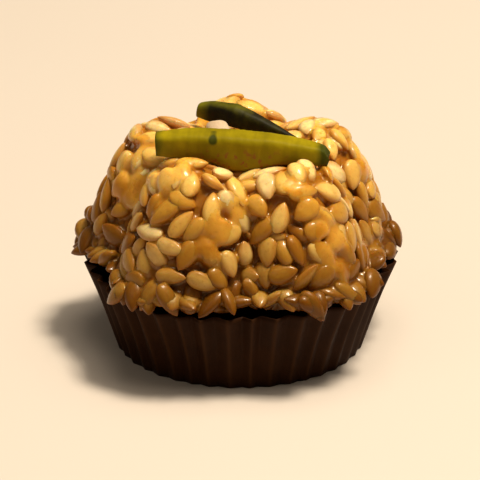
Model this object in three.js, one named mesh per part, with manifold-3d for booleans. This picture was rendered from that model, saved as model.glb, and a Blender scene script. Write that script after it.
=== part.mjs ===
// A flower-shaped sesame brittle sweet in its pleated paper case, with nut slivers on top.
// Millimetres, +Z up. The origin is the centre of the case's underside.
import * as THREE from 'three';
import { mergeVertices } from 'three/addons/utils/BufferGeometryUtils.js';
import Module from 'manifold-3d';

const { clamp, degToRad, euclideanModulo, lerp, smoothstep } = THREE.MathUtils;
const GAP = 0.3;

// Paper case: a flat round floor and a flared wall folded into pleats that open towards the rim
const CASE_HEIGHT = 9.3;
const CASE_FLOOR_RADIUS = 13.0;
const CASE_RIM_RADIUS = 16.6;
const PAPER = 0.4;
const PLEAT_COUNT = 40;
const PLEAT_DEPTH_AT_FLOOR = 0.3;
const PLEAT_DEPTH_AT_RIM = 1.0;

// Sesame flower: five lobes round a dimple, the lobes' feet on the case's rim
// The crests are uneven: each drops by its own amount, counted from the back lobe round by the left
const FOOT_Z = CASE_HEIGHT + GAP;
const LOBE_COUNT = 5;
const FLOWER_TURN = degToRad(93);
const LOBE = { foot: 16.8, crest: 9.4, height: 13.8, lean: 2.0 };
const VALLEY = { foot: 14.0, crest: 7.8, height: 11.9, lean: 3.4 };
const CREST_DROPS = [0.4, 0.1, 0.7, 0.9, 0.5];
const FLANK_LEAN_AT = 0.42;
const SHOULDER = 3.0;
const DIMPLE_Z = 10.8;
const SCALLOP_ROUNDNESS = { foot: 0.72, crest: 1.3 };
const FLOWER_SEGMENTS = 50;
const FLANK_RINGS = 8;
const DIMPLE_RINGS = 6;

// Hulled sesame seeds: flat drops, pressed into the flower in all directions
// Places along the outline run from 0 at the foot over 1 at the crest to 2 in the dimple
const SEED = { length: 3.3, width: 2.05, thickness: 1.25, taper: 0.25 };
const SEED_SPACING = 2.4;
const SEED_SIZE_SPREAD = 0.12;
const SEED_TILT = degToRad(22);
const SEED_LIFT = 0.22;
const SEED_ATTEMPTS = 9000;
const SEED_RANGE = [0.1, 1.96];
const SKIRT_COUNT = 44;
const SKIRT_UNEVENNESS = 0.3;
const SKIRT_FAN = degToRad(63);
const SKIRT_DROOP = degToRad(20);
const SKIRT_INSET = [0.1, 0.8];
const SKIRT_REACH = 17.8;
const SMALLEST_FACET = 0.04;
const RANDOM_START = 7;

// Nut slivers, in the flower's frame: turns in degrees about +Z and about the sliver's own width
// A belly deepens the underside at the middle, a tail thins and drops towards the far end,
// and a point draws back the far end's upper and lower edges
const SLIVERS = {
  pistachio_sliver_front: {
    centre: [0.3, -4.7, 13.9], yaw: -4, pitch: 2.7, length: 18.2, width: 3.2, thickness: 3.0, bend: 0.45,
    blunt: 0.75, belly: 0.75, tailThinning: 0.16, tailDrop: 0, point: 0.5, colour: 0x94881a,
  },
  pistachio_sliver_back: {
    centre: [0.8, 2.6, 14.4], yaw: -25, pitch: 1.5, length: 11.4, width: 2.0, thickness: 2.5, bend: 0.1,
    blunt: 0.6, belly: 0, tailThinning: 0.6, tailDrop: 1.35, point: 0, colour: 0x3f4310,
  },
  almond_sliver: {
    centre: [-2.1, -0.1, 13.2], yaw: -75, pitch: 20, length: 5.0, width: 2.6, thickness: 2.2, bend: 0.1,
    blunt: 0.6, belly: 0, tailThinning: 0, tailDrop: 0, point: 0, colour: 0xe3cdb4,
  },
};
const BELLY_SPREAD = 0.35;
const TAIL_START = -0.2;
const SLIVER_SIDES = 8;
const SLIVER_RINGS = 8;
const SLIVER_TAPER = 3.5;
const SLIVER_SQUARENESS = 0.7;

// Colours, and how rough the glazed seeds and the dull nuts and paper are
const SESAME_COLOUR = 0xc38a3c;
const PAPER_COLOUR = 0x2a170a;
const GLAZED = 0.35;
const DULL = 0.6;

// Corners closer than this are one
const SAME_CORNER = 1e-4;

const wasm = await Module();
wasm.setup();

// The same draw each run, from a linear congruential rule
function seededRandom(seed) {
  let state = seed;
  return () => {
    state = (Math.imul(state, 1664525) + 1013904223) >>> 0;
    return state / 2 ** 32;
  };
}

// Keeps positions alone, joins equal corners and drops the triangles that collapse on the axis
function closed(geometry) {
  geometry.deleteAttribute('normal');
  geometry.deleteAttribute('uv');
  const merged = mergeVertices(geometry, SAME_CORNER);
  const corners = merged.index.array;
  const kept = [];
  for (let i = 0; i < corners.length; i += 3) {
    const [a, b, c] = [corners[i], corners[i + 1], corners[i + 2]];
    if (a !== b && b !== c && c !== a) kept.push(a, b, c);
  }
  merged.setIndex(kept);
  return merged;
}

function toSolid(geometry) {
  const vertProperties = Float32Array.from(geometry.attributes.position.array);
  const triVerts = Uint32Array.from(geometry.index.array);
  return new wasm.Manifold(new wasm.Mesh({ numProp: 3, vertProperties, triVerts }));
}

function toGeometry(solid) {
  const { vertProperties, triVerts } = solid.getMesh();
  const geometry = new THREE.BufferGeometry();
  geometry.setAttribute('position', new THREE.BufferAttribute(vertProperties, 3));
  geometry.setIndex(new THREE.BufferAttribute(triVerts, 1));
  return geometry;
}

// A lathe round +Z whose corners are then placed by place(angle, ring, vector)
function shapedLathe(rings, segments, place) {
  const profile = Array.from({ length: rings }, (_, ring) => new THREE.Vector2(1, ring));
  const geometry = new THREE.LatheGeometry(profile, segments);
  const corner = new THREE.Vector3();
  for (let segment = 0; segment <= segments; segment++) {
    const angle = ((segment % segments) / segments) * 2 * Math.PI;
    for (let ring = 0; ring < rings; ring++) {
      place(angle, ring, corner);
      geometry.attributes.position.setXYZ(segment * rings + ring, corner.x, corner.y, corner.z);
    }
  }
  return closed(geometry);
}

// Paper case

function wallRadius(z) {
  return lerp(CASE_FLOOR_RADIUS, CASE_RIM_RADIUS, z / CASE_HEIGHT);
}

function pleatDepth(z) {
  return lerp(PLEAT_DEPTH_AT_FLOOR, PLEAT_DEPTH_AT_RIM, z / CASE_HEIGHT);
}

function caseGeometry() {
  const segments = PLEAT_COUNT * 2;
  const rings = [
    { side: 0, z: 0 },
    { side: 1, z: 0 },
    { side: 1, z: CASE_HEIGHT },
    { side: -1, z: CASE_HEIGHT },
    { side: -1, z: PAPER },
    { side: 0, z: PAPER },
  ];
  return shapedLathe(rings.length, segments, (angle, ring, corner) => {
    const { side, z } = rings[ring];
    const fold = Math.round((angle / Math.PI) * PLEAT_COUNT) % 2 ? -1 : 1;
    const radius = side ? wallRadius(z) + (fold * pleatDepth(z) + side * PAPER) / 2 : 0;
    corner.set(radius * Math.cos(angle), radius * Math.sin(angle), z);
  });
}

// Sesame flower

// The outline of a lobe or valley, up the flank and then down into the dimple
function outline({ foot, crest, height, lean }) {
  const flank = new THREE.CubicBezierCurve(
    new THREE.Vector2(foot, 0),
    new THREE.Vector2(foot - lean, height * FLANK_LEAN_AT),
    new THREE.Vector2(crest + SHOULDER, height),
    new THREE.Vector2(crest, height),
  );
  const dimple = new THREE.CubicBezierCurve(
    new THREE.Vector2(crest, height),
    new THREE.Vector2(crest - SHOULDER, height),
    new THREE.Vector2(SHOULDER, DIMPLE_Z),
    new THREE.Vector2(0, DIMPLE_Z),
  );
  return (t) => (t < 1 ? flank.getPoint(t) : dimple.getPoint(t - 1));
}

const lobeOutline = outline(LOBE);
const valleyOutline = outline(VALLEY);

// The drop of the crests round the axis, run smoothly from lobe to lobe
function crestDrop(angle) {
  const place = euclideanModulo(((angle - FLOWER_TURN) / (2 * Math.PI)) * LOBE_COUNT, LOBE_COUNT);
  const lobe = Math.floor(place) % LOBE_COUNT;
  const next = (lobe + 1) % LOBE_COUNT;
  return lerp(CREST_DROPS[lobe], CREST_DROPS[next], smoothstep(place - lobe, 0, 1));
}

// A point on the flower: its outline swells from valley to lobe and back round the axis,
// with narrow valleys at the foot and wide dips between the crests
function flowerPoint(angle, t, point = new THREE.Vector3()) {
  const swing = Math.abs(Math.cos((LOBE_COUNT / 2) * (angle - FLOWER_TURN)));
  const roundness = lerp(SCALLOP_ROUNDNESS.foot, SCALLOP_ROUNDNESS.crest, Math.min(t, 1));
  const section = valleyOutline(t).lerp(lobeOutline(t), swing ** roundness);
  const height = section.y - crestDrop(angle) * (1 - Math.abs(1 - t));
  return point.set(section.x * Math.cos(angle), section.x * Math.sin(angle), height);
}

function flowerCore() {
  const steps = [];
  for (let i = 0; i <= FLANK_RINGS; i++) steps.push(i / FLANK_RINGS);
  for (let i = 1; i <= DIMPLE_RINGS; i++) steps.push(1 + i / DIMPLE_RINGS);
  return shapedLathe(steps.length + 1, FLOWER_SEGMENTS, (angle, ring, corner) => {
    if (ring === 0) corner.set(0, 0, 0);
    else flowerPoint(angle, steps[ring - 1], corner);
  });
}

// Axes on the flower's skin: up is outwards, along runs from the foot to the middle
function skinFrame(angle, t) {
  const step = 0.01;
  const origin = flowerPoint(angle, t);
  const along = flowerPoint(angle, t + step).sub(flowerPoint(angle, t - step)).normalize();
  const round = flowerPoint(angle + step, t).sub(flowerPoint(angle - step, t)).normalize();
  const up = new THREE.Vector3().crossVectors(round, along).normalize();
  return { origin, along, up };
}

// Axes at the foot's edge, set in from it: up is +Z, along points straight out
function footFrame(angle, inset) {
  const edge = flowerPoint(angle, 0);
  const along = edge.clone().normalize();
  return { origin: edge.addScaledVector(along, -inset), along, up: new THREE.Vector3(0, 0, 1) };
}

// One seed turned about the frame's up and tipped out of its plane
function placedSeed({ origin, along, up }, turn, tip, size) {
  const x = along.clone().applyAxisAngle(up, turn);
  const y = new THREE.Vector3().crossVectors(up, x);
  const place = new THREE.Matrix4().makeBasis(x, y, up);
  place.multiply(new THREE.Matrix4().makeRotationY(tip));
  place.scale(new THREE.Vector3(size, size, size));
  place.setPosition(origin.clone().addScaledVector(up, SEED_LIFT));
  return seedShape.clone().applyMatrix4(place);
}

function dropShape() {
  const geometry = closed(new THREE.IcosahedronGeometry(1, 0));
  const corners = geometry.attributes.position;
  for (let i = 0; i < corners.count; i++) {
    const x = corners.getX(i);
    const narrowing = 1 - SEED.taper * x;
    corners.setX(i, (x * SEED.length) / 2);
    corners.setY(i, (corners.getY(i) * narrowing * SEED.width) / 2);
    corners.setZ(i, (corners.getZ(i) * narrowing * SEED.thickness) / 2);
  }
  return geometry;
}

const seedShape = dropShape();

// A seed that hangs below the foot is raised to it, and one that reaches too far out is moved in
function keepOnRim(seed) {
  seed.computeBoundingBox();
  seed.translate(0, 0, Math.max(0, -seed.boundingBox.min.z));
  const corner = new THREE.Vector3();
  let reach = SKIRT_REACH;
  for (let i = 0; i < seed.attributes.position.count; i++) {
    corner.fromBufferAttribute(seed.attributes.position, i);
    reach = Math.max(reach, Math.hypot(corner.x, corner.y));
  }
  seed.computeBoundingSphere();
  const { x, y } = seed.boundingSphere.center;
  const inward = (reach - SKIRT_REACH) / Math.hypot(x, y);
  return seed.translate(-x * inward, -y * inward, 0);
}

// A ragged skirt of seeds round the foot, then seeds over the flank, crest and dimple
function seeds() {
  const random = seededRandom(RANDOM_START);
  const spread = (range) => (random() * 2 - 1) * range;
  const placed = [];
  const origins = [];
  const addSeed = (frame, turn, tip) => {
    origins.push(frame.origin);
    placed.push(keepOnRim(placedSeed(frame, turn, tip, 1 + spread(SEED_SIZE_SPREAD))));
  };
  for (let i = 0; i < SKIRT_COUNT; i++) {
    const angle = ((i + spread(SKIRT_UNEVENNESS)) / SKIRT_COUNT) * 2 * Math.PI;
    const frame = footFrame(angle, lerp(...SKIRT_INSET, random()));
    addSeed(frame, spread(SKIRT_FAN), random() * SKIRT_DROOP);
  }
  for (let attempt = 0; attempt < SEED_ATTEMPTS; attempt++) {
    const angle = random() * 2 * Math.PI;
    const frame = skinFrame(angle, lerp(...SEED_RANGE, random()));
    if (origins.some((other) => other.distanceTo(frame.origin) < SEED_SPACING)) continue;
    addSeed(frame, random() * 2 * Math.PI, spread(SEED_TILT));
  }
  return placed;
}

// The largest body is kept: a loose scrap is dropped and a sealed hollow filled
function wholeBody(solid) {
  return solid.decompose().sort((a, b) => b.volume() - a.volume())[0];
}

function flowerGeometry() {
  const seats = Object.values(SLIVERS).map((sliver) => toSolid(sliverGeometry(sliver, GAP)));
  const pieces = [flowerCore(), ...seeds()].map(toSolid);
  const fused = wasm.Manifold.union(pieces).subtract(wasm.Manifold.union(seats));
  return toGeometry(wholeBody(fused.simplify(SMALLEST_FACET)));
}

// Nut slivers

// A slim bar with a rounded section, narrower and blunt at both ends, arched in the middle
function sliverGeometry(sliver, grow = 0) {
  const { length, width, thickness, bend, blunt, belly, tailThinning, tailDrop, point } = sliver;
  const rings = SLIVER_RINGS + 3;
  const rounded = (value) => Math.sign(value) * Math.abs(value) ** SLIVER_SQUARENESS;
  const geometry = shapedLathe(rings, SLIVER_SIDES, (angle, ring, corner) => {
    const share = clamp((ring - 1) / SLIVER_RINGS, 0, 1) * 2 - 1;
    const tail = clamp((share - TAIL_START) / (1 - TAIL_START), 0, 1);
    const girth = lerp(1, blunt, Math.abs(share) ** SLIVER_TAPER) * (1 - tailThinning * tail);
    const depth = angle > Math.PI ? 1 + belly * Math.exp(-((share / BELLY_SPREAD) ** 2)) : 1;
    const onAxis = ring === 0 || ring === rings - 1 ? 0 : 1;
    const across = onAxis * rounded(Math.cos(angle)) * (girth * width + 2 * grow);
    const upwards = onAxis * rounded(Math.sin(angle)) * (girth * depth * thickness + 2 * grow);
    const arch = bend * (1 - share ** 2) - tailDrop * tail;
    const drawnBack = share === 1 ? point * Math.abs(upwards) : 0;
    corner.set((share * (length + 2 * grow) - drawnBack) / 2, across / 2, upwards / 2 + arch);
  });
  const turn = new THREE.Euler(0, degToRad(sliver.pitch), degToRad(sliver.yaw), 'ZYX');
  const place = new THREE.Matrix4().makeRotationFromEuler(turn);
  return geometry.applyMatrix4(place.setPosition(...sliver.centre));
}

function part(name, geometry, colour, roughness) {
  geometry.computeVertexNormals();
  const material = new THREE.MeshStandardMaterial({ color: colour, roughness, metalness: 0 });
  const mesh = new THREE.Mesh(geometry, material);
  mesh.name = name;
  return mesh;
}

const flower = new THREE.Group();
flower.position.z = FOOT_Z;
flower.add(part('sesame_flower', flowerGeometry(), SESAME_COLOUR, GLAZED));
for (const [name, sliver] of Object.entries(SLIVERS)) {
  flower.add(part(name, sliverGeometry(sliver), sliver.colour, DULL));
}

const sweet = new THREE.Group();
sweet.add(part('paper_case', caseGeometry(), PAPER_COLOUR, DULL));
sweet.add(flower);

export default sweet;
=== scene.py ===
import math

import bpy
import numpy as np
from mathutils import Matrix, Vector, noise
from mathutils.kdtree import KDTree


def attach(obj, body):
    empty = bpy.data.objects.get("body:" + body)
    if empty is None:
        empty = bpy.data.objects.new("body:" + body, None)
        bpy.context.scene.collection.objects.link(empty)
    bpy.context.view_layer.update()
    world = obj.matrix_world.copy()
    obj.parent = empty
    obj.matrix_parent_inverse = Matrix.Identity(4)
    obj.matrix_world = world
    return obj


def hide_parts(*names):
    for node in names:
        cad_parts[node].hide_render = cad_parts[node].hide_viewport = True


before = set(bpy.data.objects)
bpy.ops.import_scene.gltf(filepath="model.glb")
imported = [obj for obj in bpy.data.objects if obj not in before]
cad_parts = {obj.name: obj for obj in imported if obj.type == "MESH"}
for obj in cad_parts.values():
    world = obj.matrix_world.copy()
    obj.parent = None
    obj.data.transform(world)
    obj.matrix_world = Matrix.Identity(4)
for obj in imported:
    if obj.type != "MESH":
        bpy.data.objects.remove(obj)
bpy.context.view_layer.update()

# Sizes are in millimetres and become metres as each mesh is made
MM = 0.001
FULL_TURN = 2 * math.pi
UP = np.array([0, 0, 1])

# Paper case
CASE_HEIGHT = 9.3
CASE_FLOOR_RADIUS = 13.0
CASE_RIM_RADIUS = 16.6
CASE_DRAW = 41
PAPER = 0.14
WALL_RINGS = 15
WALL_HOLLOW = 0.25
FLOOR_RING_SHARES = (0.3, 0.7, 0.93)
PLEAT_COUNT = 40
PLEAT_SAMPLES = 14
PLEAT_DEPTH_AT_FLOOR = 0.3
PLEAT_DEPTH_AT_RIM = 1.0
PLEAT_DEPTH_SHARES = (0.82, 1.12)
PLEAT_SHIFT = 0.13
PLEAT_ROUNDNESS = 0.85
RIM_DIP = 0.16
RIM_LEAN_AT_VALLEYS = 0.8
# Depth, number and start of the waves round the rim
RIM_WAVES = ((0.12, 3, 0.7), (0.1, 7, 2.0))

# Sesame flower; places on its outline run from 0 at the foot by 1 at the crest to 2 in the dimple
FOOT_Z = 9.6
LOBE_COUNT = 5
FLOWER_TURN = math.radians(93)
LOBE = {"foot": 16.8, "crest": 9.4, "height": 13.8, "lean": 2.0}
VALLEY = {"foot": 14.0, "crest": 7.8, "height": 11.9, "lean": 3.4}
# How much lower each lobe's crest is, from the back lobe round by the left
CREST_DROPS = (0.4, 0.1, 0.7, 0.9, 0.5)
FLANK_LEAN_AT = 0.42
SHOULDER = 3.0
DIMPLE_Z = 10.8
SCALLOP_ROUNDNESS = {"foot": 0.72, "crest": 1.3}
SKIN_STEP = 0.01
SKIN_GRID = {"sides": 300, "rings": 130, "top": 1.98}
CORE_GRID = {"sides": 160, "rings": 60, "top": 1.97}
CORE_INSET = 0.3

# Sesame seeds; angles by which they tip, roll and fan out are in radians
SEED_DRAW = 12
SEED_LENGTH, SEED_WIDTH, SEED_THICKNESS = 3.45, 2.15, 1.25
SEED_SIDES, SEED_RINGS = 10, 10
SEED_ROUND_END, SEED_POINTED_END = 0.5, 0.75
SEED_FULLNESS = 0.8
SEED_VARIETY = 0.1
SEED_LEAST, SEED_MOST = 0.78, 1.25
SPINE_REACH, SPINE_POINTS = 0.7, 4
ROLL_FOR_TIP = 1.4
ON_EDGE_SHARE = 0.1
ON_EDGE_ROLL = (0.7, 1.2)
# Spread of the seeds' tones, and how much paler they grow towards the top: the climb is painted light
TONE_SPREAD, TONE_PAINTED_LIGHT_CLIMB = 1.6, 0.75
PRESSED_HEIGHT, PRESSED_SHARE = 0.6, 0.5

# Layers of seeds that lie on the skin, each seed turned the freest of a few ways
LAYERS = {
    "top": {
        "tries": 30000, "spacing": 1.5, "overlap": 0.45, "sink": 0.0, "wobble": 0.13, "lift": (0.05, 0.35),
    },
    "filler": {
        "tries": 30000, "spacing": 1.15, "overlap": 0.95, "sink": 0.1, "wobble": 0.25, "lift": (-0.1, 0.35),
    },
    "under": {
        "tries": 9000, "spacing": 1.6, "overlap": 1.2, "sink": 0.75, "wobble": 0.3, "lift": (-0.1, 0.1),
    },
}
LAYER_SPAN = (0.02, 1.95)
TURN_CHOICES = 8
NEIGHBOUR_REACH = 3.6
SLIVER_CLEARANCE = 0.35

# Seeds round the foot's edge, and seeds that hang from each lobe's foot
SKIRT = {
    "count": 84, "jitter": 0.4, "inward": (0.0, 1.1), "height": (0.35, 1.5),
    "fan": 1.0, "droop": (-0.1, 0.8), "tilt": (0.0, 0.7), "wobble": 0.2,
}
FRINGE = {
    "per_lobe": 6, "spread": 0.3, "radius": (16.8, 17.4), "height": 0.3,
    "fan": 1.5, "droop": (0.5, 1.2), "tilt": (0.5, 1.0), "wobble": 0.2,
}
SKIRT_REACH = 18.0
RIM_GAP = 0.15
RIM_HANG = 0.9

# Caramel, which stands out in slow swells, a little more at the top and less at the foot
CARAMEL_VOXEL = 0.22
CARAMEL_SMOOTHING, CARAMEL_SMOOTH_ROUNDS = 0.5, 10
CARAMEL_SWELL, CARAMEL_SWELL_SIZE = 0.24, 4.5
CARAMEL_LEVEL = -0.09
CARAMEL_AT_TOP, CARAMEL_AT_FOOT = 0.04, -0.12
CARAMEL_FOOT_HEIGHT = 2.5
BLEND_SEEDS, BLEND_REACH, BLEND_FALL = 4, 0.5, 3
SWELL_GAIN = 1.6

# Nut slivers, in the flower's frame
SLIVERS = {
    "pistachio_sliver_front": {
        "centre": (0.3, -4.7, 13.9), "yaw": -4, "pitch": 2.7,
        "length": 18.2, "width": 3.2, "thickness": 3.0, "bend": 0.45, "blunt": 0.75, "belly": 0.75,
        "tail_thinning": 0.16, "tail_drop": 0.0, "point": 0.5,
        "square": 0.5, "cuts": (-0.1, -0.25), "ridges": 0.012, "swell_start": 3,
    },
    "pistachio_sliver_back": {
        "centre": (0.8, 2.6, 14.4), "yaw": -25, "pitch": 1.5,
        "length": 11.4, "width": 2.0, "thickness": 2.5, "bend": 0.1, "blunt": 0.6, "belly": 0.0,
        "tail_thinning": 0.6, "tail_drop": 1.35, "point": 0.0,
        "square": 0.7, "cuts": (0.1, 0.2), "ridges": 0.015, "swell_start": 50,
    },
    "almond_sliver": {
        "centre": (-2.1, -0.1, 13.2), "yaw": -75, "pitch": 20,
        "length": 5.0, "width": 2.6, "thickness": 2.2, "bend": 0.1, "blunt": 0.6, "belly": 0.0,
        "tail_thinning": 0.0, "tail_drop": 0.0, "point": 0.0,
        "square": 0.65, "cuts": (0.4, -0.3), "ridges": 0.0, "swell_start": 90,
    },
}
SLIVER_STATIONS, SLIVER_SIDES = 90, 48
SLIVER_TAPER = 3.5
BELLY_SPREAD = 0.35
TAIL_START = -0.2
CUT_SHARPNESS = 8
CLEARANCE_SQUARENESS = 3
# Size and depth of the swells of a sliver's surface, and their share along, across and upwards
SLIVER_SWELLS = ((2.6, 0.07), (0.7, 0.02))
SLIVER_SWELL_SHARES = (0.4, 1, 1)
SLIVER_SWELL_STEP = 20
RIDGE_SIZE, RIDGE_START = 0.3, 70
RIDGE_STRETCH = (1, 0.12, 0.12)
FAR_END_DARKER = 0.04
# Marks on a sliver: a dark spot near the top of its front, and flecks of skin low down
SPOT = {"along": -3.1, "height": 0.95, "height_spread": 0.5, "spread": 0.25}
FLECKS = {"along": 0.3, "spread": 5.5, "below": 0.75}

# Camera
CAMERA_ELEVATION = math.radians(23.5)
CAMERA_DISTANCE = 500
CAMERA_CLIP = 10
CAMERA_TARGET = (0, 0, 11.2)
VIEW_WIDTH = 51.0
SENSOR_WIDTH = 36.0

# Studio, in metres
FLOOR_SIZE = 6
WARM_LIGHT = (1.0, 0.93, 0.82)
SKY_STRENGTH = 0.1
LAMPS = {
    "key": {"place": (0.19, -0.03, 0.6), "size": 0.14, "power": 4.6, "colour": WARM_LIGHT},
    "top": {"place": (0.12, 0.0, 0.62), "size": 0.5, "power": 2.0, "colour": WARM_LIGHT},
    "fill": {"place": (-0.4, -0.3, 0.5), "size": 0.4, "power": 0.25, "colour": (1.0, 0.94, 0.85)},
}


def lerp(a, b, share):
    return a + (b - a) * share


def unit(vectors):
    return vectors / np.linalg.norm(vectors, axis=-1, keepdims=True)


def signed_power(values, power):
    return np.sign(values) * np.abs(values) ** power


def circle_angles(count):
    return np.linspace(0, FULL_TURN, count, endpoint=False)


def swell(points, size):
    """Slow, smooth rise and fall over the points, about -1 to 1."""
    return np.array([noise.noise(point) for point in (points / size).tolist()]) * SWELL_GAIN


# Meshes

def set_attributes(mesh, attributes):
    """One float attribute for each name given, with a value for each point."""
    for key, values in attributes.items():
        layer = mesh.attributes.new(key, "FLOAT", "POINT")
        layer.data.foreach_set("value", np.asarray(values, np.float32).ravel())


def shade_smooth(mesh):
    mesh.polygons.foreach_set("use_smooth", np.ones(len(mesh.polygons), dtype=bool))


def link_piece(name, mesh):
    piece = bpy.data.objects.new(name, mesh)
    bpy.context.scene.collection.objects.link(piece)
    return piece


def mesh_piece(name, points, triangles, attributes):
    """A smooth mesh object from arrays in millimetres."""
    mesh = bpy.data.meshes.new(name)
    mesh.vertices.add(len(points))
    mesh.vertices.foreach_set("co", (np.asarray(points, np.float32) * MM).ravel())
    mesh.loops.add(triangles.size)
    mesh.loops.foreach_set("vertex_index", triangles.astype(np.int32).ravel())
    mesh.polygons.add(len(triangles))
    mesh.polygons.foreach_set("loop_start", np.arange(0, triangles.size, 3, dtype=np.int32))
    shade_smooth(mesh)
    mesh.update(calc_edges=True)
    mesh.validate()
    set_attributes(mesh, attributes)
    return link_piece(name, mesh)


def ring_triangles(rings, sides):
    """Triangles between neighbouring rings of points."""
    row, column = np.meshgrid(np.arange(rings - 1), np.arange(sides), indexing="ij")
    a = row * sides + column
    b = row * sides + (column + 1) % sides
    c, d = a + sides, b + sides
    return np.concatenate([np.stack([a, b, d], -1), np.stack([a, d, c], -1)], axis=0).reshape(-1, 3)


def capped_rings(rings):
    """One closed surface from stacked rings of points, first and last drawn together to their middles."""
    count, sides = rings.shape[:2]
    points = np.concatenate([rings.reshape(-1, 3), rings[:1].mean(1), rings[-1:].mean(1)])
    column = np.arange(sides)
    after = (column + 1) % sides
    first = np.stack([after, column, np.full(sides, count * sides)], -1)
    top = (count - 1) * sides
    last = np.stack([top + column, top + after, np.full(sides, count * sides + 1)], -1)
    return points, np.concatenate([ring_triangles(count, sides), first, last])


def tree_of(points):
    tree = KDTree(len(points))
    for index, point in enumerate(points):
        tree.insert(point, index)
    tree.balance()
    return tree


# The flower's form

def bezier(points, t):
    a, b, c, d = [np.array(point) for point in points]
    t = np.asarray(t)[..., None]
    return a * (1 - t) ** 3 + 3 * b * t * (1 - t) ** 2 + 3 * c * t * t * (1 - t) + d * t ** 3


def outline(profile, t):
    """Radius and height at places along a lobe or valley."""
    foot, crest, height = profile["foot"], profile["crest"], profile["height"]
    leaning = (foot - profile["lean"], height * FLANK_LEAN_AT)
    flank = ((foot, 0), leaning, (crest + SHOULDER, height), (crest, height))
    dimple = ((crest, height), (crest - SHOULDER, height), (SHOULDER, DIMPLE_Z), (0, DIMPLE_Z))
    below = bezier(flank, np.clip(t, 0, 1))
    above = bezier(dimple, np.clip(np.asarray(t) - 1, 0, 1))
    return np.where((np.asarray(t) < 1)[..., None], below, above)


def crest_drop(angle):
    """The drop of the crests round the axis, run smoothly from lobe to lobe."""
    place = (angle - FLOWER_TURN) / FULL_TURN * LOBE_COUNT % LOBE_COUNT
    lobe = np.floor(place).astype(int) % LOBE_COUNT
    share = place % 1
    drops = np.array(CREST_DROPS)
    return lerp(drops[lobe], drops[(lobe + 1) % LOBE_COUNT], share * share * (3 - 2 * share))


def flower_points(angle, t):
    roundness = lerp(SCALLOP_ROUNDNESS["foot"], SCALLOP_ROUNDNESS["crest"], np.clip(t, 0, 1))
    swing = np.abs(np.cos(LOBE_COUNT / 2 * (angle - FLOWER_TURN))) ** roundness
    section = lerp(outline(VALLEY, t), outline(LOBE, t), swing[..., None])
    radius = section[..., 0]
    height = section[..., 1] - crest_drop(angle) * (1 - np.abs(1 - t))
    return np.stack([radius * np.cos(angle), radius * np.sin(angle), height + FOOT_Z], -1)


def flower_frames(angle, t):
    """Points on the flower's skin with the directions along the outline and out of the skin."""
    along = unit(flower_points(angle, t + SKIN_STEP) - flower_points(angle, t - SKIN_STEP))
    round_axis = unit(flower_points(angle + SKIN_STEP, t) - flower_points(angle - SKIN_STEP, t))
    return flower_points(angle, t), along, unit(np.cross(round_axis, along))


def flower_grid(sides, rings, top):
    """Rings of points on the skin from the foot up to a place, and the way out of the skin at each."""
    t, angle = np.meshgrid(np.linspace(0, top, rings), circle_angles(sides), indexing="ij")
    points, _, out = flower_frames(angle, t)
    return points, out


def flower_core():
    """The flower drawn in a little all over, as a closed surface."""
    points, out = flower_grid(**CORE_GRID)
    return capped_rings(points - out * CORE_INSET)


def skin_height(points):
    """How far each point lies outside the flower's skin, and the way out of the skin there."""
    skin, out = [grid.reshape(-1, 3) for grid in flower_grid(**SKIN_GRID)]
    tree = tree_of(skin)
    nearest = np.array([tree.find(point)[1] for point in points])
    return ((points - skin[nearest]) * out[nearest]).sum(-1), out[nearest]


def rise_at(z):
    """Share of the flower's height, 0 at its foot and 1 at its crests."""
    return (z - FOOT_Z) / LOBE["height"]


# Case

def wall_radius(z):
    return lerp(CASE_FLOOR_RADIUS, CASE_RIM_RADIUS, z / CASE_HEIGHT)


def pleat_depth(z):
    return lerp(PLEAT_DEPTH_AT_FLOOR, PLEAT_DEPTH_AT_RIM, z / CASE_HEIGHT)


def rim_lean(angle):
    """How far the rim leans out or in: in waves, and inwards where the flower has its valleys."""
    waves = sum(depth * np.sin(count * angle + start) for depth, count, start in RIM_WAVES)
    return waves - RIM_LEAN_AT_VALLEYS * np.sin(LOBE_COUNT / 2 * (angle - FLOWER_TURN)) ** 2


def paper_case():
    """Thin paper with a flat floor and a wall of uneven pleats."""
    random = np.random.default_rng(CASE_DRAW)
    position = np.arange(PLEAT_COUNT * PLEAT_SAMPLES) / PLEAT_SAMPLES
    pleat = np.floor(position).astype(int)
    warp = random.uniform(-PLEAT_SHIFT, PLEAT_SHIFT, PLEAT_COUNT)
    shift = np.interp(position, np.arange(PLEAT_COUNT + 1), np.append(warp, warp[0]))
    angle = FULL_TURN * (position + shift) / PLEAT_COUNT
    triangle_wave = 1 - 4 * np.abs(position - pleat - 0.5)
    fold = signed_power(triangle_wave, PLEAT_ROUNDNESS)
    depth = random.uniform(*PLEAT_DEPTH_SHARES, PLEAT_COUNT)[pleat]
    dips = np.append(random.uniform(-1, 1, PLEAT_COUNT), 0)
    dip = np.abs(np.interp(position, np.arange(PLEAT_COUNT + 1), dips))
    lean = rim_lean(angle)

    def ring(share, side):
        z = share * CASE_HEIGHT
        radius = wall_radius(z) + fold * depth * pleat_depth(z) / 2 + side * PAPER / 2
        radius = radius - WALL_HOLLOW * math.sin(math.pi * share) + lean * share ** 2
        height = z - RIM_DIP * share ** 3 * dip
        return np.stack([radius * np.cos(angle), radius * np.sin(angle), height], -1)

    def disc(radius_share, z):
        circle = ring(0, 0)
        circle[:, :2] *= radius_share
        circle[:, 2] = z
        return circle

    climb = np.linspace(0, 1, WALL_RINGS)
    underside = [disc(share, 0) for share in FLOOR_RING_SHARES]
    outside = [ring(share, 1) for share in climb]
    inside = [ring(share, -1) for share in climb[::-1]]
    inside[-1][:, 2] = PAPER
    floor = [disc(share, PAPER) for share in FLOOR_RING_SHARES[::-1]]
    rings = underside + outside + inside + floor
    points, triangles = capped_rings(np.stack(rings))
    crest = np.append(np.tile(fold, len(rings)), [0, 0])
    return mesh_piece("case_paper", points, triangles, {"crest": crest})


# Slivers

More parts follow.
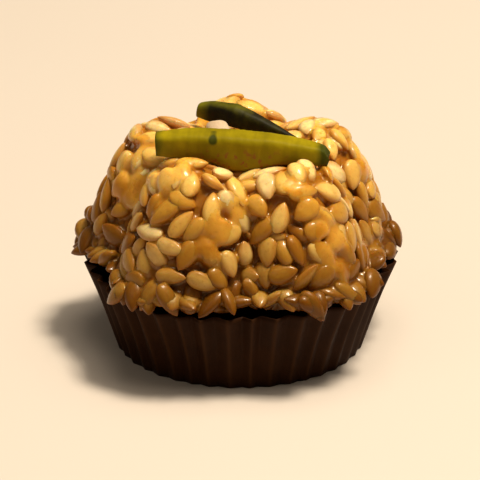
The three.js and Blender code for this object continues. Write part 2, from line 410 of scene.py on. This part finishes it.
def sliver_matrix(sliver):
    x, y, z = sliver["centre"]
    place = Matrix.Translation(Vector((x, y, z + FOOT_Z)) * MM)
    turn = Matrix.Rotation(math.radians(sliver["yaw"]), 4, "Z")
    return place @ turn @ Matrix.Rotation(math.radians(sliver["pitch"]), 4, "Y")


def sliver_form(sliver, share):
    """Girth, depth of the underside and lift along a sliver; share is -1 at its near end, 1 at its far."""
    tail = np.clip((share - TAIL_START) / (1 - TAIL_START), 0, 1)
    girth = lerp(1, sliver["blunt"], np.abs(share) ** SLIVER_TAPER)
    girth = girth * (1 - sliver["tail_thinning"] * tail)
    depth = 1 + sliver["belly"] * np.exp(-(share / BELLY_SPREAD) ** 2)
    return girth, depth, sliver["bend"] * (1 - share ** 2) - sliver["tail_drop"] * tail


def inside_sliver(points, margin):
    """Whether each point lies in a sliver that is grown by margin."""
    hit = np.zeros(points.shape[:-1], bool)
    for sliver in SLIVERS.values():
        inverse = np.array(sliver_matrix(sliver).inverted())
        local = points @ inverse[:3, :3].T + inverse[:3, 3] / MM
        share = np.clip(local[..., 0] / sliver["length"] * 2, -1, 1)
        girth, depth, arch = sliver_form(sliver, share)
        upward = local[..., 2] - arch
        height = girth * sliver["thickness"] / 2 * np.where(upward < 0, depth, 1)
        along = np.abs(local[..., 0]) / (sliver["length"] / 2 + margin)
        across = np.abs(local[..., 1]) / (girth * sliver["width"] / 2 + margin)
        upward = np.abs(upward) / (height + margin)
        hit |= (along < 1) & (across ** CLEARANCE_SQUARENESS + upward ** CLEARANCE_SQUARENESS < 1)
    return hit


def uneven(points, sliver):
    """A sliver's points pushed about by swells, with fine ridges across it."""
    local = points + sliver["swell_start"]
    for size, depth in SLIVER_SWELLS:
        push = np.stack([swell(local + SLIVER_SWELL_STEP * axis, size) for axis in range(3)], -1)
        points = points + push * SLIVER_SWELL_SHARES * depth
    ridge = 1 + swell(local * RIDGE_STRETCH + RIDGE_START, RIDGE_SIZE) * sliver["ridges"]
    return points * np.stack([np.ones(len(points)), ridge, ridge], -1)


def sliver_marks(points, sliver):
    """Values over a sliver that place its colours."""
    along = points[:, 0]
    height = points[:, 2] / sliver["thickness"] * 2
    front = -points[:, 1] / sliver["width"] * 2
    spot = (along - SPOT["along"]) ** 2 + (height - SPOT["height"]) ** 2 / SPOT["height_spread"]
    flecks = np.exp(-((along - FLECKS["along"]) / FLECKS["spread"]) ** 2)
    return {
        "height": height,
        "near_end": -along / sliver["length"] * 2,
        "spot": np.exp(-spot / SPOT["spread"]) * (front > 0),
        "flecks": flecks * np.clip(FLECKS["below"] - height, 0, 1),
    }


def sliver_piece(name, sliver):
    """A cut nut sliver round its own middle: faces and soft edges, ends cut aslant, uneven all over."""
    share = np.linspace(-1, 1, SLIVER_STATIONS)[:, None]
    turn = circle_angles(SLIVER_SIDES)[None]
    girth, depth, arch = sliver_form(sliver, share)
    across = signed_power(np.cos(turn), sliver["square"]) * girth * sliver["width"] / 2
    upward = signed_power(np.sin(turn), sliver["square"]) * girth * sliver["thickness"] / 2
    upward = upward * np.where(upward < 0, depth, 1)
    near_cut, far_cut = sliver["cuts"]
    slant = np.where(share < 0, near_cut * upward, far_cut * upward - sliver["point"] * np.abs(upward))
    along = share * sliver["length"] / 2 + slant * np.abs(share) ** CUT_SHARPNESS
    rings = np.stack(np.broadcast_arrays(along, across, upward + arch), -1)
    points, triangles = capped_rings(rings)
    points = uneven(points, sliver)
    end = np.append(np.repeat(np.abs(share) + FAR_END_DARKER * share, SLIVER_SIDES), [1, 1])
    piece = mesh_piece(name, points, triangles, {"end": end, **sliver_marks(points, sliver)})
    piece.matrix_world = sliver_matrix(sliver)
    return piece


# Seeds

def drop_shape():
    """A seed of unit length, width and thickness: round at one end, drawn to a point at the other."""
    share = (1 - np.cos(np.linspace(0, math.pi, SEED_RINGS + 1)[1:-1])) / 2
    girth = share ** SEED_ROUND_END * (1 - share) ** SEED_POINTED_END
    girth = girth / girth.max() / 2
    turn = circle_angles(SEED_SIDES)
    across = girth[:, None] * np.cos(turn)
    upward = girth[:, None] * signed_power(np.sin(turn), SEED_FULLNESS)
    along = np.broadcast_to((share - 0.5)[:, None], across.shape)
    points, triangles = capped_rings(np.stack([along, across, upward], -1))
    points[-2:] = [(-0.5, 0, 0), (0.5, 0, 0)]
    return points, triangles


def seed_rim():
    """1 along a seed's narrow rim, 0 along the middle of its faces."""
    return np.append(np.tile(np.abs(np.cos(circle_angles(SEED_SIDES))), SEED_RINGS - 1), [1, 1])


def spine(centres, axes):
    """A few points along each seed's middle line, to tell how near two seeds come."""
    steps = np.linspace(-SPINE_REACH, SPINE_REACH, SPINE_POINTS)
    return centres[..., None, :] + axes[..., None, :] * steps[:, None]


def scattered(random, tries):
    """Places spread evenly over the skin, with the directions along and out of it."""
    angle = random.uniform(0, FULL_TURN, tries)
    t = random.uniform(*LAYER_SPAN, tries)
    points, along, out = flower_frames(angle, t)
    round_axis = flower_points(angle + SKIN_STEP, t) - points
    upwards = flower_points(angle, t + SKIN_STEP) - points
    area = np.linalg.norm(np.cross(round_axis, upwards), axis=-1)
    keep = random.uniform(0, 1, tries) < area / area.max()
    return zip(points[keep], along[keep], out[keep])


def freest_turn(point, lines, spines, layer):
    """Which of a seed's turns keeps clearest of its neighbours, or None where it has no room."""
    if not spines:
        return 0
    placed = np.array(spines)
    near = placed[np.linalg.norm(placed.mean(1) - point, axis=-1) < NEIGHBOUR_REACH]
    if not len(near):
        return 0
    if np.linalg.norm(near.mean(1) - point, axis=-1).min() < layer["spacing"]:
        return None
    gaps = np.linalg.norm(lines[:, None, :, None] - near[None, :, None, :], axis=-1).min((1, 2, 3))
    best = int(gaps.argmax())
    return None if gaps[best] < SEED_WIDTH - layer["overlap"] else best


def pack_layer(random, layer, taken):
    """Centres, axes and normals of one layer's seeds, and the spines of these and of those before them."""
    seeds = []
    spines = list(taken)
    for point, along, out in scattered(random, layer["tries"]):
        point = point - out * layer["sink"]
        turns = random.uniform(0, math.pi) + np.arange(TURN_CHOICES) * math.pi / TURN_CHOICES
        axes = np.cos(turns)[:, None] * along + np.sin(turns)[:, None] * np.cross(out, along)
        lines = spine(np.broadcast_to(point, axes.shape), axes)
        if inside_sliver(lines.reshape(-1, 3), SLIVER_CLEARANCE).any():
            continue
        best = freest_turn(point, lines, spines, layer)
        if best is None:
            continue
        seeds.append((point, axes[best] * random.choice([-1, 1]), out))
        spines.append(lines[best])
    return [np.array(values) for values in zip(*seeds)], spines


def fanned(out, fan, droop):
    """Level directions turned sideways by fan and drooping."""
    return unit(out * np.cos(fan) + np.cross(UP, out) * np.sin(fan) - UP * droop)


def skirt_layer(random):
    """Seeds that lie round the foot's edge and point outwards, their tips over the case's rim."""
    count = SKIRT["count"]
    jitter = random.uniform(-SKIRT["jitter"], SKIRT["jitter"], count)
    edge = flower_points(FULL_TURN * (np.arange(count) + jitter) / count, np.zeros(count))
    out = unit(edge * (1, 1, 0))
    points = edge - out * random.uniform(*SKIRT["inward"], (count, 1))
    points[:, 2] += random.uniform(*SKIRT["height"], count)
    fan = random.normal(0, SKIRT["fan"], (count, 1))
    axes = fanned(out, fan, random.uniform(*SKIRT["droop"], (count, 1)))
    normals = unit(UP + out * random.uniform(*SKIRT["tilt"], (count, 1)))
    return points, axes, normals


def fringe_layer(random):
    """Seeds that hang from each lobe's foot over the case's rim."""
    lobes = FLOWER_TURN + np.repeat(np.arange(LOBE_COUNT), FRINGE["per_lobe"]) * FULL_TURN / LOBE_COUNT
    count = len(lobes)
    angle = lobes + random.uniform(-FRINGE["spread"], FRINGE["spread"], count)
    out = np.stack([np.cos(angle), np.sin(angle), np.zeros(count)], -1)
    points = out * random.uniform(*FRINGE["radius"], (count, 1)) + UP * (FOOT_Z + FRINGE["height"])
    fan = random.uniform(-FRINGE["fan"], FRINGE["fan"], (count, 1))
    axes = fanned(out, fan, random.uniform(*FRINGE["droop"], (count, 1)))
    normals = unit(out + UP * random.uniform(*FRINGE["tilt"], (count, 1)))
    return points, axes, normals


def keep_on_rim(points):
    """Raises each seed that would cut into the case's rim, and draws in one that reaches too far out."""
    radius = np.linalg.norm(points[..., :2], axis=-1)
    over_rim = radius < CASE_RIM_RADIUS + PLEAT_DEPTH_AT_RIM / 2 + RIM_GAP
    lowest = np.where(over_rim, CASE_HEIGHT + RIM_GAP, CASE_HEIGHT - RIM_HANG)
    points[..., 2] += np.clip((lowest - points[..., 2]).max(1), 0, None)[:, None]
    excess = np.clip(radius.max(1) - SKIRT_REACH, 0, None)
    points[..., :2] -= (unit(points.mean(1)[:, :2]) * excess[:, None])[:, None]
    return points


def turned(a, b, angle):
    """Two directions at right angles, turned in their plane from the first towards the second."""
    cosine, sine = np.cos(angle)[:, None], np.sin(angle)[:, None]
    return a * cosine + b * sine, b * cosine - a * sine


def place_seeds(random, seeds, layer):
    """Points of every seed, its size, tip and roll drawn at random; seeds with a lift lie along the skin."""
    centres, axes, normals = seeds
    count = len(centres)
    variety = random.normal(1, SEED_VARIETY, (count, 3)).clip(SEED_LEAST, SEED_MOST)
    size = np.array([SEED_LENGTH, SEED_WIDTH, SEED_THICKNESS]) * variety
    tip = random.normal(0, layer["wobble"], count)
    roll = random.normal(0, layer["wobble"] * ROLL_FOR_TIP, count)
    on_edge = random.uniform(0, 1, count) < ON_EDGE_SHARE
    sides = random.choice([-1, 1], on_edge.sum())
    roll[on_edge] += sides * random.uniform(*ON_EDGE_ROLL, on_edge.sum())
    if "lift" in layer:
        axes = axes - normals * (axes * normals).sum(-1, keepdims=True)
        centres = centres + normals * random.uniform(*layer["lift"], (count, 1))
    x = unit(axes)
    y = unit(np.cross(normals, x))
    x, z = turned(x, np.cross(x, y), tip)
    y, z = turned(y, z, roll)
    local = drop_shape()[0][None] * size[:, None]
    points = centres[:, None] + local[..., :1] * x[:, None]
    points = points + local[..., 1:2] * y[:, None] + local[..., 2:] * z[:, None]
    return keep_on_rim(points)


def press_to_skin(points):
    """Seeds drawn in where they stand too far out of the skin."""
    flat = points.reshape(-1, 3)
    height, out = skin_height(flat)
    excess = np.clip(height - PRESSED_HEIGHT, 0, None)
    return (flat - out * (excess * PRESSED_SHARE)[:, None]).reshape(points.shape)


def sesame_seeds():
    """Points by seed and tone by seed, for all the seeds; the tone is paler towards the top as painted
    light.
    """
    random = np.random.default_rng(SEED_DRAW)
    skirt = skirt_layer(random)
    top, taken = pack_layer(random, LAYERS["top"], spine(*skirt[:2]))
    filler, _ = pack_layer(random, LAYERS["filler"], taken)
    under, _ = pack_layer(random, LAYERS["under"], [])
    fringe = fringe_layer(random)
    edge = [place_seeds(random, skirt, SKIRT), place_seeds(random, fringe, FRINGE)]
    packed = zip((top, filler, under), LAYERS.values())
    laid = np.concatenate([place_seeds(random, seeds, layer) for seeds, layer in packed])
    points = np.concatenate([*edge, press_to_skin(laid)])
    rise = rise_at(points[..., 2].mean(1))
    # Painted light: seeds paler towards the top and darker towards the foot
    tone = random.beta(TONE_SPREAD, TONE_SPREAD, len(points)) + TONE_PAINTED_LIGHT_CLIMB * (rise - 0.5)
    return points, np.clip(tone, 0, 1)


def joined(points):
    """The points of all seeds in one list, with the triangles between them."""
    count, corners = points.shape[:2]
    offsets = (np.arange(count) * corners)[:, None, None]
    return points.reshape(-1, 3), (drop_shape()[1][None] + offsets).reshape(-1, 3)


def seeds_piece(points, tone):
    count, corners = points.shape[:2]
    flat, triangles = joined(points)
    return mesh_piece("sesame_seeds", flat, triangles, {
        "tone": np.repeat(tone, corners),
        "tip": np.tile(drop_shape()[0][:, 0] + 0.5, count),
        "rim": np.tile(seed_rim(), count),
        "height": skin_height(flat)[0],
        "rise": rise_at(flat[:, 2]),
    })


# Caramel

def blended_tone(skin, centres, tone):
    """The tone of the seeds nearest to each point of the caramel, run together."""
    tree = tree_of(centres)
    blended = []
    for point in skin:
        near = tree.find_n(point, BLEND_SEEDS)
        weights = [1 / (BLEND_REACH + distance) ** BLEND_FALL for _, _, distance in near]
        tones = [tone[index] for _, index, _ in near]
        blended.append(np.dot(weights, tones) / sum(weights))
    return np.array(blended)


def run_together(points):
    """The flower's core and its seeds as one smooth skin."""
    core_points, core_triangles = flower_core()
    seed_points, seed_triangles = joined(points)
    all_points = np.concatenate([core_points, seed_points])
    all_triangles = np.concatenate([core_triangles, seed_triangles + len(core_points)])
    rough = mesh_piece("caramel_rough", all_points, all_triangles, {})
    remesh = rough.modifiers.new("one_skin", "REMESH")
    remesh.mode = "VOXEL"
    remesh.voxel_size = CARAMEL_VOXEL * MM
    smooth = rough.modifiers.new("draw_smooth", "SMOOTH")
    smooth.factor = CARAMEL_SMOOTHING
    smooth.iterations = CARAMEL_SMOOTH_ROUNDS
    shown = rough.evaluated_get(bpy.context.evaluated_depsgraph_get())
    mesh = bpy.data.meshes.new_from_object(shown)
    bpy.data.objects.remove(rough)
    return mesh


def mesh_vectors(mesh, kind):
    values = np.empty(len(mesh.vertices) * 3, np.float32)
    mesh.vertices.foreach_get(kind, values)
    return values.reshape(-1, 3)


def caramel_piece(points, tone):
    """One smooth skin over the core and the seeds, which here covers the seeds and there bares them."""
    mesh = run_together(points)
    mesh.name = "caramel"
    skin = mesh_vectors(mesh, "co") / MM
    low = np.clip(1 - (skin[:, 2] - FOOT_Z) / CARAMEL_FOOT_HEIGHT, 0, 1)
    high = np.clip(rise_at(skin[:, 2]), 0, 1)
    level = CARAMEL_SWELL * swell(skin, CARAMEL_SWELL_SIZE) + CARAMEL_LEVEL
    level = level + CARAMEL_AT_TOP * high + CARAMEL_AT_FOOT * low
    skin = skin + mesh_vectors(mesh, "normal") * level[:, None]
    mesh.vertices.foreach_set("co", (skin * MM).astype(np.float32).ravel())
    shade_smooth(mesh)
    set_attributes(mesh, {
        "tone": blended_tone(skin, points.mean(1), tone),
        "height": skin_height(skin)[0],
        "rise": rise_at(skin[:, 2]),
    })
    return link_piece("caramel", mesh)


# Materials

class Shader:
    """A node material, with short calls for the nodes used here."""

    # Where the mix node for colours has its sockets
    MIX_SHARE, MIX_FIRST, MIX_SECOND, MIX_RESULT = 0, 6, 7, 2
    # Where most of a noise's values lie
    NOISE_SPAN = (0.3, 0.7)

    def __init__(self, name, **values):
        self.material = bpy.data.materials.new(name)
        self.material.use_nodes = True
        self.tree = self.material.node_tree
        self.surface = self.tree.nodes["Principled BSDF"]
        for key, value in values.items():
            socket = key.replace("_", " ").title().replace("Ior", "IOR")
            self.surface.inputs[socket].default_value = value

    def node(self, kind, **values):
        made = self.tree.nodes.new(kind)
        for key, value in values.items():
            setattr(made, key, value)
        return made

    def join(self, source, target):
        self.tree.links.new(source, target)

    def feed(self, value, socket):
        """Links a socket to another, or sets it to a number or a colour."""
        if isinstance(value, bpy.types.NodeSocket):
            self.join(value, socket)
        else:
            socket.default_value = (*value, 1) if isinstance(value, tuple) else value

    def attribute(self, name):
        return self.node("ShaderNodeAttribute", attribute_name=name).outputs["Fac"]

    def noise(self, scale, detail=3.0, roughness=0.5, stretch=None):
        texture = self.node("ShaderNodeTexNoise")
        texture.inputs["Scale"].default_value = scale
        texture.inputs["Detail"].default_value = detail
        texture.inputs["Roughness"].default_value = roughness
        place = self.node("ShaderNodeTexCoord").outputs["Object"]
        if stretch:
            mapping = self.node("ShaderNodeMapping")
            mapping.inputs["Scale"].default_value = stretch
            self.join(place, mapping.inputs["Vector"])
            place = mapping.outputs["Vector"]
        self.join(place, texture.inputs["Vector"])
        return texture.outputs["Fac"]

    def ramp(self, source, stops):
        ramp = self.node("ShaderNodeValToRGB")
        elements = ramp.color_ramp.elements
        while len(elements) < len(stops):
            elements.new(0.5)
        for element, (place, colour) in zip(elements, stops):
            element.position = place
            element.color = (*colour, 1)
        self.join(source, ramp.inputs["Fac"])
        return ramp.outputs["Color"]

    def mix(self, share, first, second, blend="MIX"):
        mix = self.node("ShaderNodeMix", data_type="RGBA", blend_type=blend)
        self.feed(share, mix.inputs[self.MIX_SHARE])
        self.feed(first, mix.inputs[self.MIX_FIRST])
        self.feed(second, mix.inputs[self.MIX_SECOND])
        return mix.outputs[self.MIX_RESULT]

    def remap(self, source, span, to=(0.0, 1.0)):
        """The source's span stretched to another and held at its ends."""
        node = self.node("ShaderNodeMapRange")
        for socket, value in zip(("From Min", "From Max", "To Min", "To Max"), (*span, *to)):
            node.inputs[socket].default_value = value
        self.join(source, node.inputs["Value"])
        return node.outputs["Result"]

    def combine(self, operation, first, second):
        node = self.node("ShaderNodeMath", operation=operation)
        self.feed(first, node.inputs[0])
        self.feed(second, node.inputs[1])
        return node.outputs["Value"]

    def ragged(self, source, scale, detail, depth):
        """The source made uneven by noise."""
        push = self.remap(self.noise(scale, detail), (0, 1), to=(-depth, depth))
        return self.combine("ADD", source, push)

    def bump(self, height, strength, distance):
        bump = self.node("ShaderNodeBump")
        bump.inputs["Strength"].default_value = strength
        bump.inputs["Distance"].default_value = distance
        self.join(height, bump.inputs["Height"])
        self.join(bump.outputs["Normal"], self.surface.inputs["Normal"])

    def colour(self, source):
        self.join(source, self.surface.inputs["Base Color"])

    def roughness(self, scale, least, most):
        """Roughness that varies with noise."""
        varied = self.remap(self.noise(scale), self.NOISE_SPAN, to=(least, most))
        self.join(varied, self.surface.inputs["Roughness"])


# Sesame and caramel

# Painted shade: the brown that darkens the lower flanks towards the foot
FOOT_SHADE_AMBER = (0.098, 0.0275, 0.0006)
# Painted shade: the dark amber in the hollows between the seeds
HOLLOW_SHADE_AMBER = (0.17, 0.048, 0.0026)
AMBER = (0.43, 0.148, 0.009)
GLAZE = (0.97, 0.82, 0.46)
# Amber tint on the seeds' and caramel's reflections: a painted warm reflection of surroundings
PAINTED_WARM_REFLECTION = (1.0, 0.70, 0.32, 1.0)
SEED_TONES = (
    (0.0, (0.47, 0.188, 0.012)),
    (0.35, (0.71, 0.350, 0.038)),
    (0.7, (0.92, 0.560, 0.125)),
    (1.0, (0.96, 0.70, 0.28)),
)
SEED_MOTTLE = (0.46, 0.16, 0.010)
SEED_FLECK = (0.36, 0.115, 0.007)
SESAME_GLOW = {"subsurface_radius": (1.0, 0.42, 0.1), "subsurface_scale": 0.9 * MM}


def toasted(shader):
    """The tone of each seed, from deeply toasted to pale, a little mottled."""
    body = shader.ramp(shader.attribute("tone"), SEED_TONES)
    mottle = shader.remap(shader.noise(scale=900, detail=4), (0.35, 0.75), to=(0.0, 0.35))
    body = shader.mix(mottle, body, SEED_MOTTLE)
    flecks = shader.remap(shader.noise(scale=2400, detail=3, roughness=0.6), (0.56, 0.72), to=(0.0, 0.35))
    return shader.mix(flecks, body, SEED_FLECK)


def amber_with_painted_shade(shader, body, deep, covered, bare):
    """Amber where it lies lower in the skin, with painted shade: darker amber in the hollows, less of it
    higher up, and browner towards the foot.
    """
    height, rise = shader.attribute("height"), shader.attribute("rise")
    body = shader.mix(shader.remap(height, (covered, bare), to=(1.0, 0.0)), body, AMBER)
    # Painted shade in the hollows, weaker higher up
    hollow_shade = shader.remap(height, (deep, covered), to=(1.0, 0.0))
    hollow_shade = shader.combine("MULTIPLY", hollow_shade, shader.remap(rise, (0.35, 0.75), to=(1.0, 0.3)))
    body = shader.mix(hollow_shade, body, HOLLOW_SHADE_AMBER)
    # Painted shade: browner towards the foot, less of it on the paler seeds
    low = shader.remap(shader.ragged(rise, scale=140, detail=3, depth=0.2), (0.0, 0.95), to=(1.0, 0.0))
    foot_shade_by_tone = shader.remap(shader.attribute("tone"), (0.05, 0.85), to=(1.0, 0.6))
    return shader.mix(shader.combine("MULTIPLY", low, foot_shade_by_tone), body, FOOT_SHADE_AMBER)


def seed_material():
    """Toasted seeds, amber along their rims and tips."""
    shader = Shader(
        "sesame_seed", specular_tint=PAINTED_WARM_REFLECTION, specular_ior_level=0.22,
        subsurface_weight=0.35, coat_weight=0.26, coat_roughness=0.1, **SESAME_GLOW,
    )
    body = toasted(shader)
    body = shader.mix(shader.remap(shader.attribute("tip"), (0.65, 1.0), to=(0.0, 0.6)), body, AMBER)
    body = shader.mix(shader.remap(shader.attribute("rim"), (0.45, 1.0), to=(0.0, 0.75)), body, AMBER)
    shader.colour(amber_with_painted_shade(shader, body, deep=-0.4, covered=0.0, bare=0.35))
    shader.roughness(scale=700, least=0.3, most=0.48)
    shader.bump(shader.noise(scale=1700, detail=4, roughness=0.6), strength=0.35, distance=0.12 * MM)
    return shader.material


def caramel_material():
    """Clear amber caramel: the seeds show through where it is thin over them."""
    shader = Shader(
        "caramel", specular_tint=PAINTED_WARM_REFLECTION, specular_ior_level=0.35,
        subsurface_weight=0.6, coat_weight=0.3, coat_roughness=0.08, **SESAME_GLOW,
    )
    body = shader.mix(1.0, toasted(shader), GLAZE, "MULTIPLY")
    shader.colour(amber_with_painted_shade(shader, body, deep=-0.4, covered=0.1, bare=0.7))
    shader.roughness(scale=700, least=0.22, most=0.4)
    shader.bump(shader.noise(scale=700, detail=3), strength=0.2, distance=0.12 * MM)
    return shader.material


# Nuts

FLESH_TONES = (
    (0.25, (0.19, 0.137, 0.0013)),
    (0.5, (0.26, 0.190, 0.0020)),
    (0.75, (0.35, 0.252, 0.0032)),
)
FLESH_LINE = (0.10, 0.074, 0.001)
# Painted light: a paler olive that lifts the shaded lower part of the sliver
FLESH_LOW_PAINTED_LIGHT = (0.25, 0.200, 0.010)
FLESH_END = (0.030, 0.040, 0.003)
FLESH_SPOT = (0.026, 0.034, 0.003)
RED_SKIN = (0.26, 0.090, 0.022)
SKIN_TONES = (
    (0.35, (0.010, 0.007, 0.002)),
    (0.55, (0.020, 0.016, 0.002)),
    (0.75, (0.042, 0.036, 0.002)),
)
SKIN_TOP_TONES = ((0.3, (0.060, 0.054, 0.002)), (0.7, (0.13, 0.112, 0.003)))
SKIN_NEAR_END = (0.16, 0.135, 0.004)
ALMOND_TONES = ((0.3, (0.46, 0.30, 0.16)), (0.55, (0.64, 0.46, 0.28)), (0.8, (0.74, 0.58, 0.41)))
ALMOND_GLOW = {"subsurface_radius": (1.0, 0.7, 0.5), "subsurface_scale": 0.6 * MM}


def pistachio_flesh_material():
    """Cut pistachio: yellow green, lined across, with dark ends, a spot and scraps of red skin low down."""
    shader = Shader("pistachio_flesh", specular_ior_level=0.05)
    colour = shader.ramp(shader.noise(scale=330, detail=4, roughness=0.6), FLESH_TONES)
    lines = shader.noise(scale=650, detail=3, roughness=0.6, stretch=(1.0, 0.12, 0.12))
    colour = shader.mix(shader.remap(lines, (0.45, 0.75), to=(0.0, 0.45)), colour, FLESH_LINE)
    # Painted light: the lower part drawn towards a paler olive
    low = shader.remap(shader.attribute("height"), (0.55, -0.5), to=(0.0, 0.65))
    colour = shader.mix(low, colour, FLESH_LOW_PAINTED_LIGHT)
    ends = shader.ragged(shader.attribute("end"), scale=500, detail=3, depth=0.08)
    colour = shader.mix(shader.remap(ends, (0.86, 0.98), to=(0.0, 0.9)), colour, FLESH_END)
    spot = shader.remap(shader.attribute("spot"), (0.3, 0.6), to=(0.0, 0.9))
    colour = shader.mix(spot, colour, FLESH_SPOT)
    scraps = shader.remap(shader.noise(scale=1700, detail=2, roughness=0.6), (0.54, 0.64))
    flecks = shader.combine("MULTIPLY", shader.attribute("flecks"), scraps)
    shader.colour(shader.mix(flecks, colour, RED_SKIN))
    shader.roughness(scale=500, least=0.45, most=0.62)
    shader.bump(lines, strength=0.6, distance=0.2 * MM)
    return shader.material


def pistachio_skin_material():
    """Pistachio with its skin on: near black, with green showing through on top and at its near end."""
    shader = Shader("pistachio_skin", roughness=0.55, specular_ior_level=0.1)
    skin = shader.ramp(shader.noise(scale=420, detail=4, roughness=0.65), SKIN_TONES)
    flesh = shader.ramp(shader.noise(scale=500, detail=3), SKIN_TOP_TONES)
    top = shader.ragged(shader.attribute("height"), scale=380, detail=4, depth=0.6)
    colour = shader.mix(shader.remap(top, (0.55, 0.95)), skin, flesh)
    near_end = shader.remap(shader.attribute("near_end"), (0.72, 0.92), to=(0.0, 0.9))
    shader.colour(shader.mix(near_end, colour, SKIN_NEAR_END))
    shader.bump(shader.noise(scale=900, detail=4), strength=0.4, distance=0.2 * MM)
    return shader.material


def almond_material():
    """Blanched almond with a faint grain along it."""
    shader = Shader("almond", roughness=0.5, subsurface_weight=0.15, **ALMOND_GLOW)
    fibre = shader.noise(scale=600, detail=3, roughness=0.6, stretch=(0.15, 1.0, 1.0))
    shader.colour(shader.ramp(fibre, ALMOND_TONES))
    shader.bump(fibre, strength=0.35, distance=0.15 * MM)
    return shader.material


# Paper and floor

PAPER_TONES = ((0.3, (0.016, 0.0048, 0.0009)), (0.7, (0.028, 0.0088, 0.0017)))
# Painted highlight along the pleats' crests
PAPER_CREST_HIGHLIGHT = (0.050, 0.018, 0.0042)
FLOOR_TONES = ((0.3, (0.65, 0.545, 0.43)), (0.7, (0.67, 0.560, 0.445)))


def paper_material():
    """Dark brown paper, paler along the pleats' crests as a painted highlight."""
    shader = Shader("case_paper", specular_ior_level=0.06)
    paper = shader.ramp(shader.noise(scale=260, detail=5, roughness=0.65), PAPER_TONES)
    # Painted highlight: paler along the pleats' crests
    crest_highlight = shader.remap(shader.attribute("crest"), (0.55, 1.0), to=(0.0, 0.5))
    shader.colour(shader.mix(crest_highlight, paper, PAPER_CREST_HIGHLIGHT))
    shader.roughness(scale=400, least=0.5, most=0.65)
    shader.bump(shader.noise(scale=2200, detail=4, roughness=0.7), strength=0.3, distance=0.08 * MM)
    return shader.material


def floor_material():
    shader = Shader("pale_floor", roughness=0.7)
    shader.colour(shader.ramp(shader.noise(scale=9, detail=2), FLOOR_TONES))
    return shader.material


# Scene

def dress(piece, material, slot, *nodes):
    piece.data.materials.clear()
    piece.data.materials.append(material)
    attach(piece, "root")
    if nodes:
        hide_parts(*nodes)


def dress_sliver(name, node, material, slot):
    dress(sliver_piece(name, SLIVERS[node]), material, slot, node)


def light(name, place, size, power, colour):
    data = bpy.data.lights.new(name, "AREA")
    data.size = size
    data.energy = power
    data.color = colour
    lamp = bpy.data.objects.new(name, data)
    lamp.location = place
    lamp.rotation_euler = (Vector(CAMERA_TARGET) * MM - lamp.location).to_track_quat("-Z", "Y").to_euler()
    bpy.context.scene.collection.objects.link(lamp)


def studio():
    bpy.ops.mesh.primitive_plane_add(size=FLOOR_SIZE, location=(0, 0, 0))
    floor = bpy.context.object
    floor.name = "floor"
    floor.data.materials.append(floor_material())
    for name, lamp in LAMPS.items():
        light(name, **lamp)
    world = bpy.data.worlds.new("studio")
    world.use_nodes = True
    background = world.node_tree.nodes["Background"]
    background.inputs["Color"].default_value = (*WARM_LIGHT, 1)
    background.inputs["Strength"].default_value = SKY_STRENGTH
    bpy.context.scene.world = world
    bpy.context.scene.view_settings.view_transform = "Standard"


def camera():
    data = bpy.data.cameras.new("camera")
    data.sensor_width = SENSOR_WIDTH
    data.lens = SENSOR_WIDTH * CAMERA_DISTANCE / VIEW_WIDTH
    data.clip_start = CAMERA_CLIP * MM
    eye = bpy.data.objects.new("camera", data)
    target = Vector(CAMERA_TARGET) * MM
    away = Vector((0, -math.cos(CAMERA_ELEVATION), math.sin(CAMERA_ELEVATION)))
    eye.location = target + away * (CAMERA_DISTANCE * MM)
    eye.rotation_euler = (-away).to_track_quat("-Z", "Y").to_euler()
    bpy.context.scene.collection.objects.link(eye)
    bpy.context.scene.camera = eye


camera()
studio()
dress(paper_case(), paper_material(), "case_paper", "paper_case")
seed_points, seed_tone = sesame_seeds()
dress(caramel_piece(seed_points, seed_tone), caramel_material(), "sesame")
dress(seeds_piece(seed_points, seed_tone), seed_material(), "sesame", "sesame_flower")
dress_sliver("front_pistachio", "pistachio_sliver_front", pistachio_flesh_material(), "pistachio")
dress_sliver("back_pistachio", "pistachio_sliver_back", pistachio_skin_material(), "pistachio_skin")
dress_sliver("almond", "almond_sliver", almond_material(), "almond")
